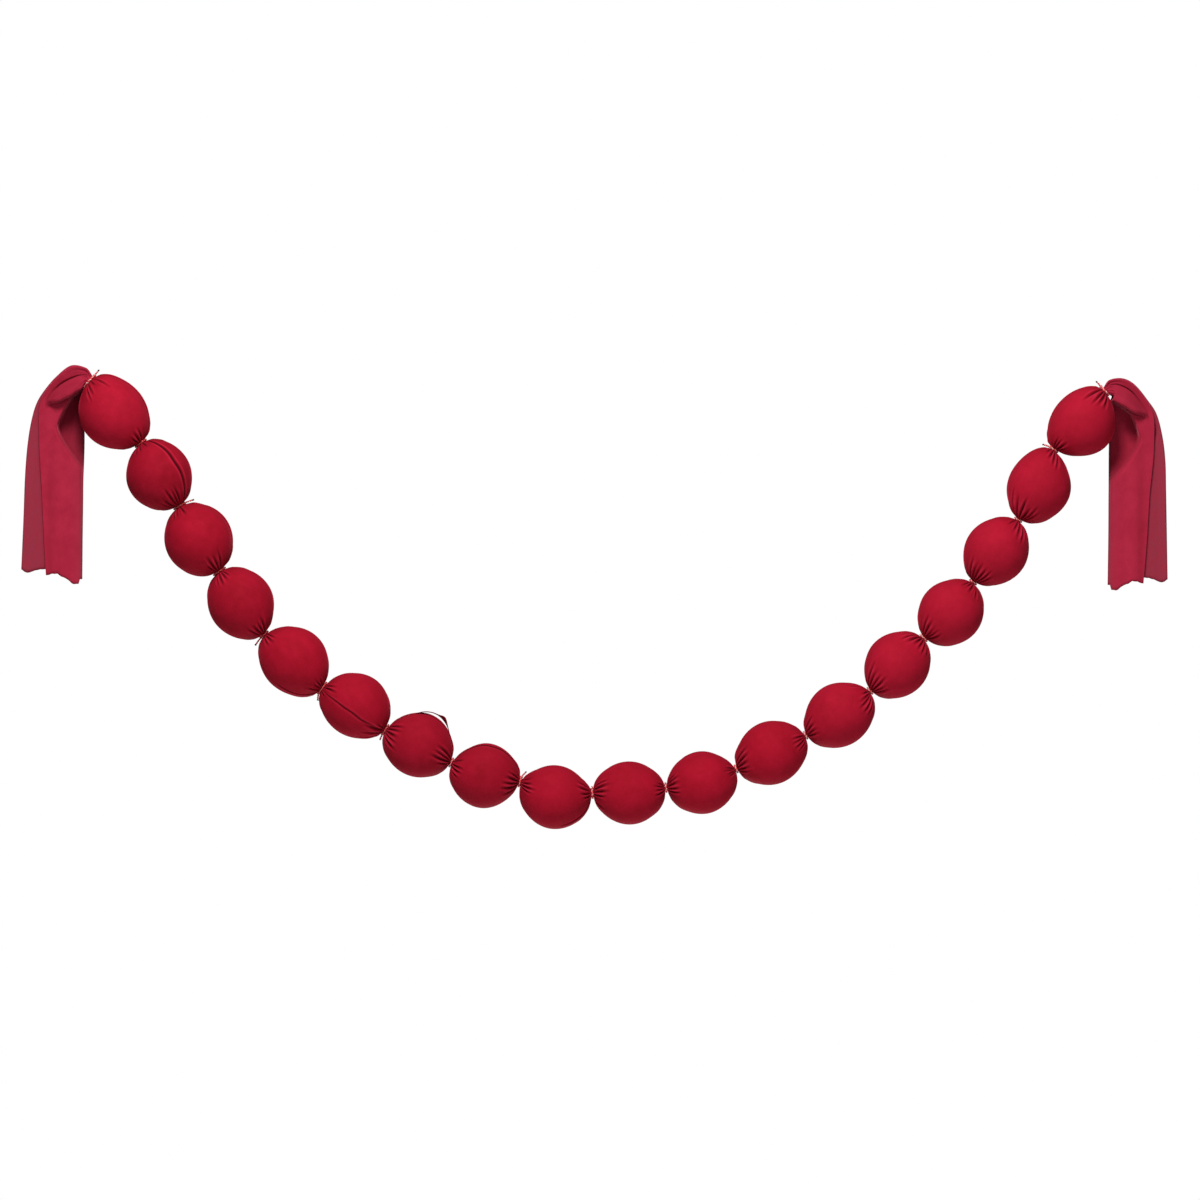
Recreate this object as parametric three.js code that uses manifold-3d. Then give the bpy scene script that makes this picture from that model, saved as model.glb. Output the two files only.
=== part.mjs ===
import * as THREE from 'three';
import { mergeVertices } from 'three/addons/utils/BufferGeometryUtils.js';
import Module from 'manifold-3d';

// A velvet ball garland, hung as a swag. One long strip of crimson velvet is rolled round eighteen balls and
// tied off between them with short red cords. Past each end tie the strip goes on as a folded, hanging tail.
// Sizes are millimetres. X runs along the swag, -Y faces the viewer and Z is up.
// The origin is the top of the left tail's crest, where the garland hangs.

// Cloth and cord
const CLOTH = 1.8;
const CORD_RADIUS = 1.4;
const GAP = 0.3;

// A covered ball: rings of cloth from neck to neck, and how full the cloth stands beside its necks
const BALL_SEGMENTS = 24;
const BALL_BANDS = 8;
const FULLNESS = 1.35;
const BOW = 0.8;
const END_BLEND = 1.5;
const LAP_SPREAD = 4;
const LAP_STEP_DEG = 3;

// Pleats beside a tie: how deep they are, and where they start, are full and end, from the tie outwards
const PLEAT = { depth: 2.2, mean: 0.75, change: 0.25, start: 2.1, open: 3.5, full: 5.6, reach: 32 };

// A tie's ring, knot and free end
const RING_STEPS = 12;
const KNOT = { size: 1.96, out: 0.98, sideDeg: 62 };
const FREE_END = { root: 1.19, tip: 0.98, sides: 5, forward: 0.25 };

// A folded tail: its layers' spacing as it hangs and as a share of the neck, and how finely it is drawn
const LAYER_PITCH = 4.2;
const TIE_PITCH_SHARE = 0.33;
const CREST_ROWS = { from: 1, to: 6 };
const FOLD = { steps: 3, round: 0.045 };
const LAYER_STOPS = [0.25, 0.45, 0.65, 0.85];
const LOBE = { before: 0.07, after: 0.05, band: 0.25 };
const FRONT_POINTS = 10;
const END_LEAN_DEG = 43;

// Ties, left to right: place across and below the origin, radius of the gathered neck, and the free end that
// shows, by the way it points in the hanging plane (degrees from +X) and its length.
const TIES = [
  { x: 24, z: -22, neck: 11.5, endTurn: 52, endLength: 11 },
  { x: 96, z: -108, neck: 8.5 },
  { x: 150, z: -196, neck: 8, endTurn: 22, endLength: 15 },
  { x: 206, z: -287, neck: 9 },
  { x: 269, z: -375, neck: 5.8, endTurn: -128, endLength: 13 },
  { x: 350, z: -450, neck: 9, endTurn: -95, endLength: 9 },
  { x: 438, z: -508, neck: 7.2, endTurn: -115, endLength: 8 },
  { x: 530, z: -554, neck: 6 },
  { x: 626, z: -581, neck: 6.5, endTurn: 50, endLength: 11 },
  { x: 727, z: -596, neck: 7.5 },
  { x: 830, z: -589, neck: 6 },
  { x: 928, z: -563, neck: 5 },
  { x: 1025, z: -516, neck: 5 },
  { x: 1115, z: -454, neck: 5 },
  { x: 1190, z: -380, neck: 6 },
  { x: 1259, z: -302, neck: 5 },
  { x: 1322, z: -215, neck: 5 },
  { x: 1372, z: -117, neck: 5.6, endTurn: 158, endLength: 12 },
  { x: 1443, z: -35, neck: 7.5, endTurn: 130, endLength: 11 }
];

// Balls, left to right: radius over the cloth, how far the middle sags past the line between its ties, and
// the strip's lapped long edge, by its angle from the front (towards the upper side) and its height.
const BALLS = [
  { radius: 46.2, sag: 4, lap: 62, lift: 1.2 },
  { radius: 45.7, sag: 2.5, lap: 48, lift: 1.6 },
  { radius: 46.5, sag: 2.5, lap: 82, lift: 1.4 },
  { radius: 45.8, sag: 1, lap: 110, lift: 1.4 },
  { radius: 46, sag: -2, lap: 115, lift: 1.4 },
  { radius: 44.8, sag: -6, lap: -25, lift: 1.2 },
  { radius: 44.5, sag: -1, lap: 78, lift: 1.2 },
  { radius: 45, sag: 6, lap: 72, lift: 1.4 },
  { radius: 44.6, sag: 14, lap: -62, lift: 1.4 },
  { radius: 44.2, sag: 4, lap: 120, lift: 1.4 },
  { radius: 43.9, sag: 6, lap: 125, lift: 1.4 },
  { radius: 44.2, sag: 1, lap: 80, lift: 1.4 },
  { radius: 44.2, sag: 3, lap: 84, lift: 1.4 },
  { radius: 44.4, sag: 1, lap: 120, lift: 1.4 },
  { radius: 44.4, sag: 5, lap: 118, lift: 1.4 },
  { radius: 44.2, sag: 1, lap: 112, lift: 1.4 },
  { radius: 44, sag: 5.5, lap: 76, lift: 1.2 },
  { radius: 44.2, sag: 8, lap: 80, lift: 1.2 }
];

// The loose stretch of lapped edge on the seventh ball, which arches off the cloth between two places
const LOOSE_BALL = 6;
const LOOSE = { from: 0.31, to: 0.83, angle: 92, width: 13, gap: 3, steps: 8, sink: 2.6 };

// Tails, from tie to hem. Each row is one section across the folded cloth: its inner end and outer end (out
// from the tie and up from it), how far the inner part sets back, where the front lobe starts and where its
// crease lies (from and to, as shares of the row), how far the lobe stands forward, and where the front
// layer's free edge is.
const LEFT_ROWS = [
  { inOut: 6.3, inUp: -6.8, outOut: -6.3, outUp: 6.8, back: 0, from: 0.3, to: 0.85, lobe: 0, free: 0.96 },
  { inOut: 9, inUp: -4.3, outOut: -3.6, outUp: 9.3, back: 0, from: 0.3, to: 0.85, lobe: 1, free: 0.96 },
  { inOut: 16, inUp: -15, outOut: 5, outUp: 19, back: 14, from: 0.36, to: 0.85, lobe: 7, free: 0.97 },
  { inOut: 14, inUp: -32, outOut: 25, outUp: 22, back: 26, from: 0.4, to: 0.84, lobe: 15, free: 0.97 },
  { inOut: 12, inUp: -49, outOut: 44, outUp: 8, back: 30, from: 0.52, to: 0.83, lobe: 17, free: 0.97 },
  { inOut: 10, inUp: -67, outOut: 60, outUp: -10, back: 30, from: 0.69, to: 0.83, lobe: 11, free: 0.97 },
  { inOut: 9.5, inUp: -85, outOut: 73, outUp: -31, back: 27, from: 0.66, to: 0.84, lobe: 4, free: 0.93 },
  { inOut: 9.5, inUp: -109, outOut: 81, outUp: -60, back: 20, from: 0.6, to: 0.82, lobe: 3, free: 0.84 },
  { inOut: 9.5, inUp: -137, outOut: 86, outUp: -95, back: 13, from: 0.55, to: 0.76, lobe: 2, free: 0.77 },
  { inOut: 9.5, inUp: -172, outOut: 89, outUp: -137, back: 8, from: 0.5, to: 0.7, lobe: 1, free: 0.71 },
  { inOut: 10, inUp: -214, outOut: 91, outUp: -193, back: 4, from: 0.45, to: 0.65, lobe: 1, free: 0.66 },
  { inOut: 10.5, inUp: -278, outOut: 94, outUp: -264, back: 1, from: 0.4, to: 0.58, lobe: 1, free: 0.59 }
];
const RIGHT_ROWS = [
  { inOut: 3.3, inUp: -3.5, outOut: -3.3, outUp: 3.5, back: 0, from: 0.25, to: 0.82, lobe: 0, free: 0.96 },
  { inOut: 5.6, inUp: -1.4, outOut: -0.8, outUp: 5.8, back: 0, from: 0.25, to: 0.82, lobe: 1, free: 0.96 },
  { inOut: 15, inUp: -12, outOut: 7, outUp: 15, back: 10, from: 0.25, to: 0.82, lobe: 6, free: 0.97 },
  { inOut: 16, inUp: -24, outOut: 25, outUp: 17, back: 20, from: 0.26, to: 0.82, lobe: 13, free: 0.97 },
  { inOut: 12.5, inUp: -40, outOut: 42, outUp: 8, back: 27, from: 0.34, to: 0.81, lobe: 17, free: 0.97 },
  { inOut: 10, inUp: -56, outOut: 60, outUp: -14, back: 30, from: 0.57, to: 0.84, lobe: 14, free: 0.97 },
  { inOut: 9.5, inUp: -73, outOut: 72, outUp: -33, back: 27, from: 0.64, to: 0.85, lobe: 5, free: 0.93 },
  { inOut: 8.5, inUp: -96, outOut: 80, outUp: -64, back: 20, from: 0.6, to: 0.82, lobe: 3, free: 0.84 },
  { inOut: 7.5, inUp: -124, outOut: 84, outUp: -98, back: 13, from: 0.55, to: 0.76, lobe: 2, free: 0.77 },
  { inOut: 6.5, inUp: -159, outOut: 85, outUp: -140, back: 8, from: 0.5, to: 0.7, lobe: 1, free: 0.71 },
  { inOut: 6, inUp: -207, outOut: 86, outUp: -200, back: 4, from: 0.45, to: 0.65, lobe: 1, free: 0.66 },
  { inOut: 5, inUp: -273, outOut: 87, outUp: -265, back: 1, from: 0.4, to: 0.58, lobe: 1, free: 0.59 }
];

// How far the cut hem dips below a straight line, at shares of the width, on the front layer and behind it
const HEM_FRONT = [
  { at: 0, dip: 3 },
  { at: 0.05, dip: 5 },
  { at: 0.15, dip: 7 },
  { at: 0.23, dip: 2 },
  { at: 0.4, dip: -4 },
  { at: 0.6, dip: 1 }
];
const HEM_BEHIND = [
  { at: 0, dip: -2 },
  { at: 0.35, dip: -4 },
  { at: 0.62, dip: -8 },
  { at: 0.92, dip: 2 },
  { at: 1, dip: -1 }
];

const VELVET = new THREE.MeshStandardMaterial({ color: 0xa01c35, roughness: 0.88, metalness: 0 });
const TAIL_VELVET = new THREE.MeshStandardMaterial({ color: 0x9c2840, roughness: 0.9, metalness: 0 });
const SHINY_CORD = new THREE.MeshStandardMaterial({ color: 0xd8343f, roughness: 0.35, metalness: 0 });

const wasm = await Module();
wasm.setup();
const radians = THREE.MathUtils.degToRad;
const mix = THREE.MathUtils.lerp;
const FRONT = new THREE.Vector3(0, -1, 0);
// A cylinder's own axis, before it is turned
const LENGTHWISE = new THREE.Vector3(0, 1, 0);

// Six times the signed volume tells whether the faces point out
function facesOut(geometry) {
  const at = geometry.attributes.position;
  const index = geometry.index.array;
  const corners = [new THREE.Vector3(), new THREE.Vector3(), new THREE.Vector3()];
  let volume = 0;
  for (let i = 0; i < index.length; i += 3) {
    corners.forEach((corner, n) => corner.fromBufferAttribute(at, index[i + n]));
    volume += corners[0].dot(corners[1].cross(corners[2]));
  }
  if (volume < 0) {
    geometry.setIndex(Array.from(index).reverse());
  }
  return geometry;
}

// One closed body with shared corners and no empty faces
function closed(geometry) {
  geometry.deleteAttribute('normal');
  geometry.deleteAttribute('uv');
  const merged = mergeVertices(geometry, 1e-3);
  const index = merged.index.array;
  const kept = [];
  for (let i = 0; i < index.length; i += 3) {
    const [a, b, c] = [index[i], index[i + 1], index[i + 2]];
    if (a !== b && b !== c && c !== a) {
      kept.push(a, b, c);
    }
  }
  merged.setIndex(kept);
  return facesOut(merged);
}

function asManifold(geometry) {
  const body = closed(geometry);
  const mesh = new wasm.Mesh({
    numProp: 3,
    vertProperties: new Float32Array(body.attributes.position.array),
    triVerts: new Uint32Array(body.index.array)
  });
  return new wasm.Manifold(mesh);
}

function joined(geometries) {
  const whole = geometries.map(asManifold).reduce((sum, next) => sum.add(next));
  const mesh = whole.getMesh();
  const geometry = new THREE.BufferGeometry();
  geometry.setAttribute('position', new THREE.BufferAttribute(new Float32Array(mesh.vertProperties), 3));
  geometry.setIndex(Array.from(mesh.triVerts));
  return geometry;
}

function named(name, geometry, material) {
  const mesh = new THREE.Mesh(geometry, material);
  mesh.name = name;
  return mesh;
}

// Closed rings of as many points each, joined into one body with a fan or strip at each end
function loft(rings, endFaces) {
  const count = rings[0].length;
  const points = rings.flat().flatMap((point) => [point.x, point.y, point.z]);
  const faces = [];
  for (let row = 0; row + 1 < rings.length; row += 1) {
    for (let n = 0; n < count; n += 1) {
      const a = row * count + n;
      const b = row * count + (n + 1) % count;
      faces.push(a, b, b + count, a, b + count, a + count);
    }
  }
  const last = (rings.length - 1) * count;
  endFaces.forEach(([a, b, c]) => faces.push(c, b, a, last + a, last + b, last + c));
  const geometry = new THREE.BufferGeometry();
  geometry.setAttribute('position', new THREE.Float32BufferAttribute(points, 3));
  geometry.setIndex(faces);
  return closed(geometry);
}

// The middle of each ball, below the line between its two ties
const tiePoints = TIES.map((tie) => new THREE.Vector3(tie.x, 0, tie.z));
const middles = BALLS.map((ball, n) => {
  const along = tiePoints[n + 1].clone().sub(tiePoints[n]).normalize();
  const outward = new THREE.Vector3(along.z, 0, -along.x);
  return tiePoints[n].clone().lerp(tiePoints[n + 1], 0.5).addScaledVector(outward, ball.sag);
});

// The way the strip runs through each tie
const tieWays = TIES.map((tie, n) => {
  if (n === 0 || n === BALLS.length) {
    const lean = radians(n === 0 ? -END_LEAN_DEG : END_LEAN_DEG);
    return new THREE.Vector3(Math.cos(lean), 0, Math.sin(lean));
  }
  return middles[n].clone().sub(middles[n - 1]).normalize();
});

// Pleats at a tie are uneven: each ball and pleat has its own share of the depth
function pleatShare(ball, pleat) {
  return PLEAT.mean + PLEAT.change * Math.sin(2.3 * pleat + 1.7 * ball) * Math.cos(1.1 * pleat - ball);
}

// A point on a covered ball, by its share of the way along and its place round it
function sleevePoint(n, share, step) {
  const ball = BALLS[n];
  const length = tiePoints[n].distanceTo(tiePoints[n + 1]);
  const fromTie = length * Math.min(share, 1 - share);
  const near = share < 0.5 ? n : n + 1;
  const swell = Math.sin(Math.acos(1 - 2 * share));
  const neck = TIES[near].neck;
  let radius = neck + (ball.radius - neck) * Math.pow(swell, FULLNESS);
  const angle = radians(ball.lap + (step === 1 ? LAP_STEP_DEG : 360 * step / BALL_SEGMENTS));
  const free = THREE.MathUtils.smoothstep(fromTie, PLEAT.start, PLEAT.open);
  const gather = free * (1 - THREE.MathUtils.smoothstep(fromTie, PLEAT.full, PLEAT.reach));
  radius += gather * PLEAT.depth * Math.cos(Math.PI * step) * pleatShare(near, Math.floor(step / 2));
  if (step >= 1 && step < 1 + LAP_SPREAD) {
    radius += free * ball.lift * (1 - (step - 1) / LAP_SPREAD);
  }
  const bow = Math.pow(swell, BOW);
  const centre = tiePoints[n].clone().lerp(tiePoints[n + 1], share);
  const straight = tiePoints[n].clone().lerp(tiePoints[n + 1], 0.5);
  centre.addScaledVector(middles[n].clone().sub(straight), bow);
  const along = tiePoints[n + 1].clone().sub(tiePoints[n]).normalize();
  const way = along.clone().lerp(tieWays[near], Math.pow(Math.abs(1 - 2 * share), END_BLEND)).normalize();
  const upper = new THREE.Vector3(-way.z, 0, way.x);
  const spoke = FRONT.clone().multiplyScalar(Math.cos(angle)).addScaledVector(upper, Math.sin(angle));
  return centre.addScaledVector(spoke, radius);
}

// Shares of the way along a ball at which its rings stand, with a short straight neck under each tie
function ringShares(length) {
  const neck = [GAP / 2 / length, (CORD_RADIUS + 2 * GAP) / length];
  const shares = [...neck];
  for (let k = 1; k < BALL_BANDS; k += 1) {
    shares.push((1 - Math.cos(Math.PI * k / BALL_BANDS)) / 2);
  }
  shares.push(1 - neck[1], 1 - neck[0]);
  return shares;
}

// The two neck rings are plain circles in the tie's own plane, which the cord rides on
function neckRing(n, near, away) {
  const way = tieWays[near];
  const upper = new THREE.Vector3(-way.z, 0, way.x);
  const ring = [];
  for (let step = 0; step < BALL_SEGMENTS; step += 1) {
    const angle = radians(BALLS[n].lap + (step === 1 ? LAP_STEP_DEG : 360 * step / BALL_SEGMENTS));
    const spoke = FRONT.clone().multiplyScalar(Math.cos(angle)).addScaledVector(upper, Math.sin(angle));
    ring.push(tiePoints[near].clone().addScaledVector(way, away).addScaledVector(spoke, TIES[near].neck));
  }
  return ring;
}

function coveredBall(n) {
  const length = tiePoints[n].distanceTo(tiePoints[n + 1]);
  const shares = ringShares(length);
  const rings = shares.map((share, row) => {
    if (row < 2) {
      return neckRing(n, n, share * length);
    }
    if (row > shares.length - 3) {
      return neckRing(n, n + 1, (share - 1) * length);
    }
    return Array.from({ length: BALL_SEGMENTS }, (_, step) => sleevePoint(n, share, step));
  });
  const fan = [];
  for (let step = 1; step + 1 < BALL_SEGMENTS; step += 1) {
    fan.push([0, step, step + 1]);
  }
  return loft(rings, fan);
}

// The loose edge: a strip one cloth thick that springs from the ball, arches off it and comes back down
function looseEdge() {
  const way = tiePoints[LOOSE_BALL + 1].clone().sub(tiePoints[LOOSE_BALL]).normalize();
  const upper = new THREE.Vector3(-way.z, 0, way.x);
  const rings = [];
  for (let k = 0; k <= LOOSE.steps; k += 1) {
    const share = mix(LOOSE.from, LOOSE.to, k / LOOSE.steps);
    const step = (LOOSE.angle - BALLS[LOOSE_BALL].lap) / 360 * BALL_SEGMENTS;
    const root = sleevePoint(LOOSE_BALL, share, step);
    const arch = Math.pow(Math.sin(Math.PI * k / LOOSE.steps), 0.7);
    const rise = mix(-LOOSE.sink, LOOSE.gap, arch);
    root.addScaledVector(upper, rise);
    const corner = (across, up) => root.clone().addScaledVector(FRONT, across).addScaledVector(upper, up);
    const half = LOOSE.width / 2;
    rings.push([corner(-half, 0), corner(half, 0), corner(half, CLOTH), corner(-half, CLOTH)]);
  }
  return loft(rings, [[0, 1, 2], [0, 2, 3]]);
}

// A short cord tied round a neck: a ring, its knot, and the free end that shows
function tie(n) {
  const { neck, endTurn, endLength } = TIES[n];
  const ringRadius = (neck + GAP + CORD_RADIUS) / Math.cos(Math.PI / RING_STEPS);
  const way = tieWays[n];
  const upper = new THREE.Vector3(-way.z, 0, way.x);
  const ring = new THREE.TorusGeometry(ringRadius, CORD_RADIUS, 4, RING_STEPS);
  const turn = new THREE.Matrix4().makeBasis(upper, FRONT.clone(), upper.clone().cross(FRONT));
  ring.applyMatrix4(turn.setPosition(tiePoints[n]));
  const shows = endTurn !== undefined;
  const end = new THREE.Vector3(Math.cos(radians(endTurn ?? 0)), 0, Math.sin(radians(endTurn ?? 0)));
  const side = shows ? Math.sign(end.dot(upper)) * radians(KNOT.sideDeg) : Math.PI;
  const knotSpoke = FRONT.clone().multiplyScalar(Math.cos(side)).addScaledVector(upper, Math.sin(side));
  const knotAt = tiePoints[n].clone().addScaledVector(knotSpoke, ringRadius + KNOT.out);
  const knot = new THREE.IcosahedronGeometry(KNOT.size);
  knot.translate(knotAt.x, knotAt.y, knotAt.z);
  const pieces = [ring, knot];
  if (shows) {
    const free = new THREE.CylinderGeometry(FREE_END.tip, FREE_END.root, endLength, FREE_END.sides);
    free.translate(0, endLength / 2, 0);
    end.y = -FREE_END.forward;
    free.applyQuaternion(new THREE.Quaternion().setFromUnitVectors(LENGTHWISE, end.normalize()));
    free.translate(knotAt.x, knotAt.y, knotAt.z);
    pieces.push(free);
  }
  return joined(pieces);
}

// A value between the rows of a short table
function between(rows, key, value, column) {
  const next = Math.max(1, rows.findIndex((row) => row[key] >= value));
  const [a, b] = [rows[next - 1], rows[next]];
  const share = THREE.MathUtils.clamp((value - a[key]) / (b[key] - a[key]), 0, 1);
  return mix(a[column], b[column], share);
}

// Rows between the table's own, along smooth curves
function rowAt(rows, share) {
  const columns = Object.keys(rows[0]);
  const result = {};
  for (let c = 0; c < columns.length; c += 3) {
    const keys = columns.slice(c, c + 3);
    const points = rows.map((row) => new THREE.Vector3(...keys.map((key) => row[key])));
    const value = new THREE.CatmullRomCurve3(points).getPoint(share);
    keys.forEach((key, n) => {
      result[key] = value.getComponent(n);
    });
  }
  return result;
}

// How far the front layer stands forward at a share of the way from the inner edge to the outer one
function forward(row, share) {
  const rise = THREE.MathUtils.smoothstep(share, row.from - LOBE.before, row.from + LOBE.after);
  const fall = 1 - THREE.MathUtils.smoothstep(share, row.from + LOBE.after, row.to);
  const band = THREE.MathUtils.smoothstep(share, row.to, 1);
  return row.lobe * (rise * fall + LOBE.band * band);
}

// One section through the four layers: places across (0 inner to 1 outer) and depth, front to back
function layerLine(row, pitch) {
  const setBack = (share) => row.back * (1 - THREE.MathUtils.smoothstep(share, 0.1, 0.75));
  const front = -1.5 * pitch;
  const line = [];
  const lobe = [0.5 * (row.to + row.from), row.from + LOBE.after, row.from - LOBE.before];
  const frontShares = [0.97, 0.9, row.to, ...lobe, 0.5 * row.from, 0.12];
  const shares = frontShares.map((share) => Math.min(share, row.free + 0.005 * share));
  shares.forEach((share) => line.push({ share, depth: front + setBack(share) - forward(row, share) }));
  const turns = [
    { end: 0, from: front },
    { end: 1, from: front + pitch },
    { end: 0, from: front + 2 * pitch }
  ];
  turns.forEach(({ end, from }, layer) => {
    const inward = end === 0 ? 1 : -1;
    for (let k = 0; k <= FOLD.steps; k += 1) {
      const swing = Math.PI * k / FOLD.steps;
      const share = end + inward * FOLD.round * (1 - Math.sin(swing));
      const depth = from + pitch * (1 - Math.cos(swing)) / 2 + setBack(end);
      line.push({ share, depth });
    }
    const stops = end === 0 ? LAYER_STOPS : [...LAYER_STOPS].reverse();
    const kept = layer === 2 ? stops.slice(0, 3) : stops;
    kept.forEach((share) => line.push({ share, depth: from + pitch + setBack(share) }));
  });
  return line;
}

function tail(tieNumber, rows, outward) {
  const origin = tiePoints[tieNumber].clone().addScaledVector(tieWays[tieNumber], outward * GAP);
  const rings = [];
  const last = rows.length - 1;
  for (let k = 0; k <= last; k += k >= CREST_ROWS.from && k < CREST_ROWS.to ? 0.5 : 1) {
    const along = k / last;
    const row = rowAt(rows, along);
    const place = (outKey, upKey) =>
      new THREE.Vector3(origin.x + outward * row[outKey], 0, origin.z + row[upKey]);
    const inner = place('inOut', 'inUp');
    const outer = place('outOut', 'outUp');
    const across = outer.clone().sub(inner);
    const width = across.length();
    across.normalize();
    const pitch = mix(TIE_PITCH_SHARE * TIES[tieNumber].neck, LAYER_PITCH, Math.min(1, 3 * along));
    const line = layerLine(row, pitch).map(({ share, depth }) => new THREE.Vector2(share * width, depth));
    const sides = [[], []];
    line.forEach((point, n) => {
      const before = line[Math.max(0, n - 1)];
      const after = line[Math.min(line.length - 1, n + 1)];
      const normal = new THREE.Vector2(before.y - after.y, after.x - before.x).normalize();
      [1, -1].forEach((sign, side) => {
        const at = point.clone().addScaledVector(normal, sign * CLOTH / 2);
        const spot = inner.clone().addScaledVector(across, at.x);
        spot.y = at.y;
        if (k === last) {
          const hem = n < FRONT_POINTS ? HEM_FRONT : HEM_BEHIND;
          spot.z -= between(hem, 'at', THREE.MathUtils.clamp(point.x / width, 0, hem.at(-1).at), 'dip');
        }
        sides[side].push(spot);
      });
    });
    rings.push([...sides[0], ...sides[1].reverse()]);
  }
  const count = rings[0].length;
  const strip = [];
  for (let n = 0; n + 1 < count / 2; n += 1) {
    const [a, b, c, d] = [n, n + 1, count - 2 - n, count - 1 - n];
    strip.push([a, b, c], [a, c, d]);
  }
  return loft(rings, strip);
}

const twoDigits = (n) => String(n).padStart(2, '0');
const garland = new THREE.Group();
BALLS.forEach((_, n) => {
  const cover = n === LOOSE_BALL ? joined([coveredBall(n), looseEdge()]) : coveredBall(n);
  garland.add(named(`ball_${twoDigits(n + 1)}`, cover, VELVET));
});
TIES.forEach((_, n) => garland.add(named(`tie_${twoDigits(n)}`, tie(n), SHINY_CORD)));
garland.add(named('tail_left', tail(0, LEFT_ROWS, -1), TAIL_VELVET));
garland.add(named('tail_right', tail(BALLS.length, RIGHT_ROWS, 1), TAIL_VELVET));

export default garland;
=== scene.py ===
# %% [markdown]
# # A velvet ball garland
# This lesson dresses a garland that is already modelled as plain solids: eighteen cloth-covered
# balls in one gathered velvet strip, nineteen short tie cords and two hanging tails. The plain
# model is loaded first as a fixed frame, so that every soft piece below is made in its place, in
# metres, X along the swag and Z up.

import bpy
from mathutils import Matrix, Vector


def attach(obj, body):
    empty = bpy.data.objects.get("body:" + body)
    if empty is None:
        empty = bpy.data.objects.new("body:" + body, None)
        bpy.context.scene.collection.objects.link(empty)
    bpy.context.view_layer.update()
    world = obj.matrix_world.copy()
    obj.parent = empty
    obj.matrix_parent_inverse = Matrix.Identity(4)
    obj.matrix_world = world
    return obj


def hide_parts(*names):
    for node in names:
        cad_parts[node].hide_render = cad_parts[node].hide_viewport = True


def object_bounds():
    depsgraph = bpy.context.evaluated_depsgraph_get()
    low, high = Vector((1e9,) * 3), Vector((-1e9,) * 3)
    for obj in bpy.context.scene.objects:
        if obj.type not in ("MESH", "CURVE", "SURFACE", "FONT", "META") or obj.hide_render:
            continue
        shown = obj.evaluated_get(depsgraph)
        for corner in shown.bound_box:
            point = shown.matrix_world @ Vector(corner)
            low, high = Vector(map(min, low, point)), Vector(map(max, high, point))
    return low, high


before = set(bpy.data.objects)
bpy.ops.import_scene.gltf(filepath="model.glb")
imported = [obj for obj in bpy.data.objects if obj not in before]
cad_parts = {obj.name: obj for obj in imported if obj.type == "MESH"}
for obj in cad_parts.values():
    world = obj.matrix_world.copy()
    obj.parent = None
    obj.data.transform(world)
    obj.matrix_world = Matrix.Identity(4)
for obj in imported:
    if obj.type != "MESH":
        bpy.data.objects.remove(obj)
cad_low, cad_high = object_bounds()

# %% Modules and units
import math
import random

import bpy
import numpy as np
from mathutils import Vector

MM = 0.001
scene = bpy.context.scene
bpy.ops.object.select_all(action="DESELECT")

# %% [markdown]
# ## The camera
# The photograph was taken from straight in front and from far away, so a long lens a good way off
# gives the same nearly parallel lines. An orthographic camera would do too, but a lens keeps its
# look when the view turns. The frame is 1.677 m wide where the garland hangs.

# %% Camera
PHOTO_WIDTH = 1.6769
PHOTO_CENTRE = Vector((0.7378, 0.0, -0.3270))
CAMERA_DISTANCE = 9.0
SENSOR_WIDTH = 36
CLIP_END = 60

camera = bpy.data.objects.new("camera", bpy.data.cameras.new("camera"))
scene.collection.objects.link(camera)
camera.data.sensor_width = SENSOR_WIDTH
camera.data.lens = SENSOR_WIDTH * CAMERA_DISTANCE / PHOTO_WIDTH
camera.data.clip_end = CLIP_END
camera.location = PHOTO_CENTRE - Vector((0, CAMERA_DISTANCE, 0))
camera.rotation_euler = (math.pi / 2, 0, 0)
scene.camera = camera
print("lens", round(camera.data.lens, 1), "mm")

# %% [markdown]
# ## Sizes of the garland
# The tables repeat the sizes that the solids were built from. A tie has a place, the radius of the
# gathered neck that it holds, and, where a free end shows, that end's turn in degrees and its
# length. PALE says how pale the second ply of each tie's cord is, a painted highlight for the
# cord's glints. A ball has a radius, a sag below the line of its ties, the angle at which the
# strip's lapped edge runs along it, and how far the cloth past that edge lifts, or sinks where lift
# is below 0. lap_from is the share of the ball's length at which the edge comes into sight. Lengths
# are in millimetres.

# %% Tables of ties and balls
from collections import namedtuple

Tie = namedtuple("Tie", "x z neck end_turn end_length", defaults=(None, 0))
PALE = (0.9, 0.1, 0.3, 0.25, 0.1, 0.25, 0.35, 0.7, 0.35) + (0.9,) * 10
Ball = namedtuple("Ball", "radius sag lap lift lap_from", defaults=(0,))
TIES = [
    Tie(24, -22, 11.5, 52, 11), Tie(96, -108, 8.5), Tie(150, -196, 8, 22, 15), Tie(206, -287, 9),
    Tie(269, -375, 5.8, -128, 13), Tie(350, -450, 9, -95, 9), Tie(438, -508, 7.2, -115, 8),
    Tie(530, -554, 6), Tie(626, -581, 6.5, 50, 11), Tie(727, -596, 7.5), Tie(830, -589, 6),
    Tie(928, -563, 5), Tie(1025, -516, 5), Tie(1115, -454, 5), Tie(1190, -380, 6), Tie(1259, -302, 5),
    Tie(1322, -215, 5), Tie(1372, -117, 5.6, 158, 12), Tie(1443, -35, 7.5, 130, 11),
]
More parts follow.
